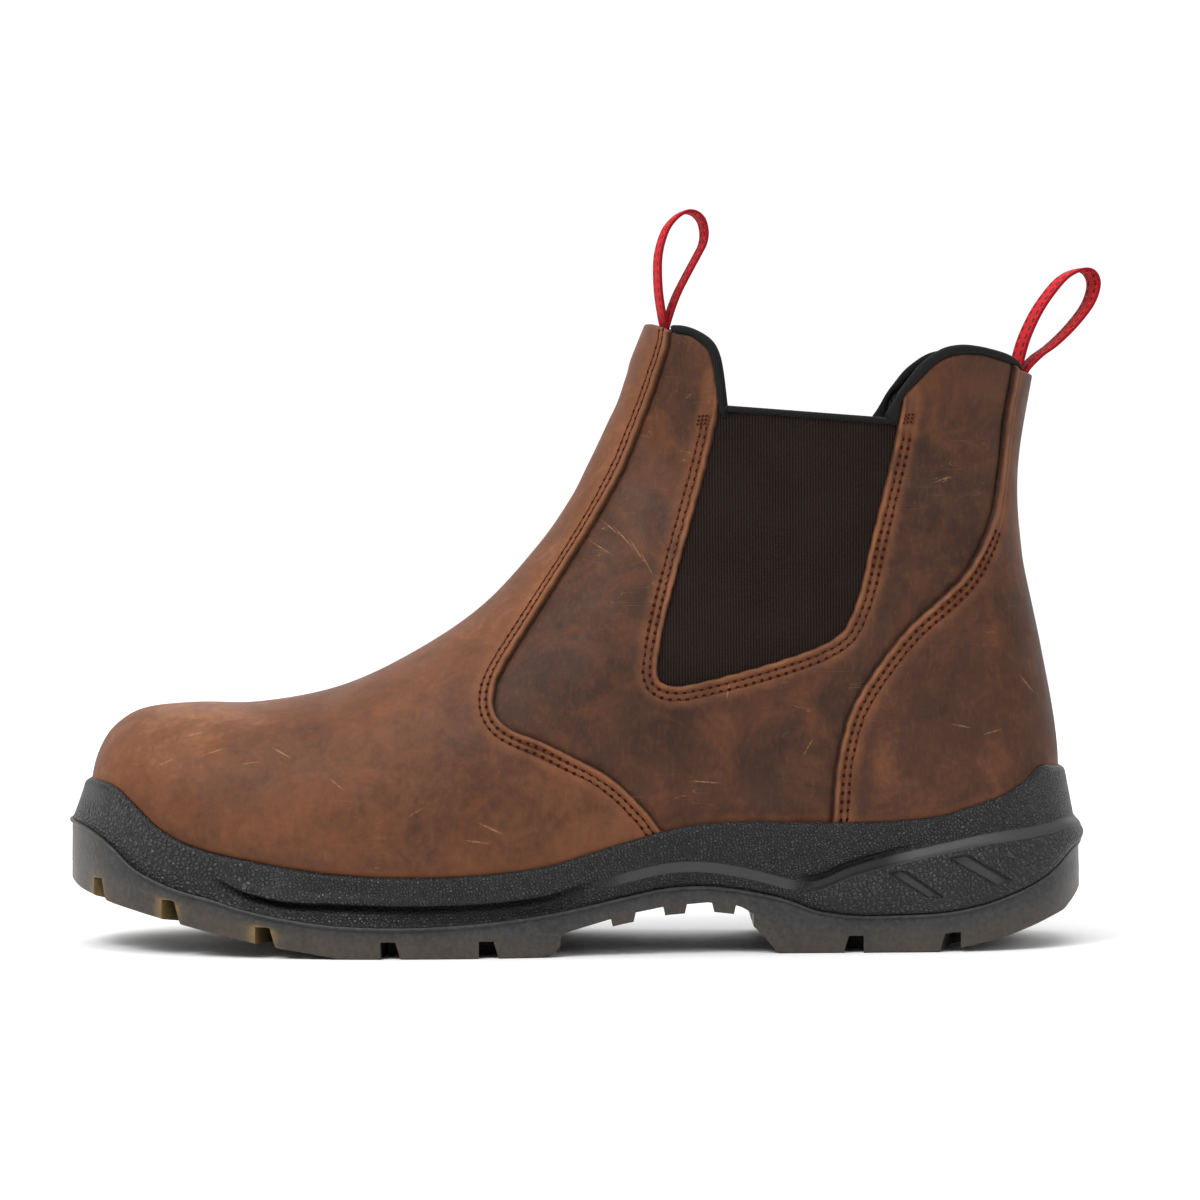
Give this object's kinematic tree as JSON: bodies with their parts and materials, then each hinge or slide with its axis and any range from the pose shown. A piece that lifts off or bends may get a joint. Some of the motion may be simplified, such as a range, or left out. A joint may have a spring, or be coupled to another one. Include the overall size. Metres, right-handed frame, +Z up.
{
  "type": "pull-on work boot",
  "caption": "Ankle-high pull-on work boot: leather upper with elastic side gores, webbing pull loops and a lugged sole.",
  "frame": {"origin": "on the floor under the middle of the heel, at the mount heel_rest", "axes": "+Z up, -X towards the toe, -Y towards the outer side of the left foot"},
  "size_m": [0.316, 0.1109, 0.2256],
  "materials": {
    "leather": "oiled",
    "elastic": "ribbed elastic",
    "binding": "woven tape",
    "webbing": "woven webbing",
    "foam": "pebbled polyurethane",
    "rubber": "smooth translucent polyurethane",
    "lining": "felted footbed cover"
  },
  "bodies": {
    "root": {"outsole": "rubber", "midsole": "foam", "insole": "lining", "upper": "leather", "heel_counter": "leather", "pull_loop_front": "webbing", "pull_loop_rear": "webbing", "gore_outer": "elastic", "gore_inner": "elastic", "gore_binding_outer": "binding", "gore_binding_inner": "binding", "collar_binding_front_outer": "binding", "collar_binding_front_inner": "binding", "collar_binding_rear_outer": "binding", "collar_binding_rear_inner": "binding"}
  },
  "joints": []
}
